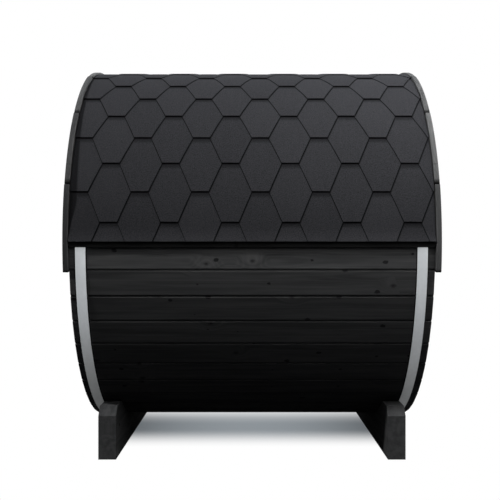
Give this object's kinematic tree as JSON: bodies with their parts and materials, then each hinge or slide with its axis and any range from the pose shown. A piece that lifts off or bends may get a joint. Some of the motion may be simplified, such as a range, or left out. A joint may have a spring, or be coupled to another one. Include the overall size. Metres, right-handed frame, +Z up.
{
  "type": "barrel sauna",
  "caption": "Black-stained timber barrel sauna on cradles, with steel hoops, a plank door at one end and honeycomb bitumen shingles over its upper half.",
  "frame": {"origin": "on the ground, under the middle of the barrel", "axes": "+X along the barrel's axis towards the door end, +Y to the right of a person facing the door, +Z up"},
  "size_m": [1.8204, 2.0614, 2.1527],
  "materials": {
    "black_stained_wood": "black stain on planed softwood, satin, with grain and knots showing",
    "bitumen_shingle": "bitumen felt with fine dark mineral granules, matte",
    "hoop_steel": "zinc-coated strip, satin",
    "roof_board_wood": "dark tarred softwood, matte",
    "black_iron": "black paint, satin"
  },
  "bodies": {
    "root": {"stave_course_01": "black_stained_wood", "stave_course_02": "black_stained_wood", "stave_course_03": "black_stained_wood", "stave_course_04": "black_stained_wood", "stave_course_05": "black_stained_wood", "stave_course_06": "black_stained_wood", "stave_course_07": "black_stained_wood", "stave_course_08": "black_stained_wood", "stave_course_09": "black_stained_wood", "stave_course_10": "black_stained_wood", "stave_course_11": "black_stained_wood", "stave_course_12": "black_stained_wood", "stave_course_13": "black_stained_wood", "stave_course_14": "black_stained_wood", "stave_course_15": "black_stained_wood", "stave_course_16": "black_stained_wood", "stave_course_17": "black_stained_wood", "stave_course_18": "black_stained_wood", "stave_course_19": "black_stained_wood", "stave_course_20": "black_stained_wood", "stave_course_21": "black_stained_wood", "stave_course_22": "black_stained_wood", "stave_course_23": "black_stained_wood", "stave_course_24": "black_stained_wood", "front_hoop": "hoop_steel", "rear_hoop": "hoop_steel", "front_cradle": "black_stained_wood", "rear_cradle": "black_stained_wood", "front_wall_left": "black_stained_wood", "front_wall_right": "black_stained_wood", "front_wall_head": "black_stained_wood", "front_wall_foot": "black_stained_wood", "rear_wall": "black_stained_wood", "door_frame": "black_stained_wood", "door_leaf": "black_stained_wood", "door_hinges": "black_iron", "door_handle": "black_stained_wood", "eave_battens": "black_stained_wood", "left_roof_boards": "roof_board_wood", "right_roof_boards": "roof_board_wood", "left_shingles": "bitumen_shingle", "right_shingles": "bitumen_shingle", "ridge_strip": "bitumen_shingle", "front_trim": "black_stained_wood", "rear_trim": "black_stained_wood"}
  },
  "joints": []
}
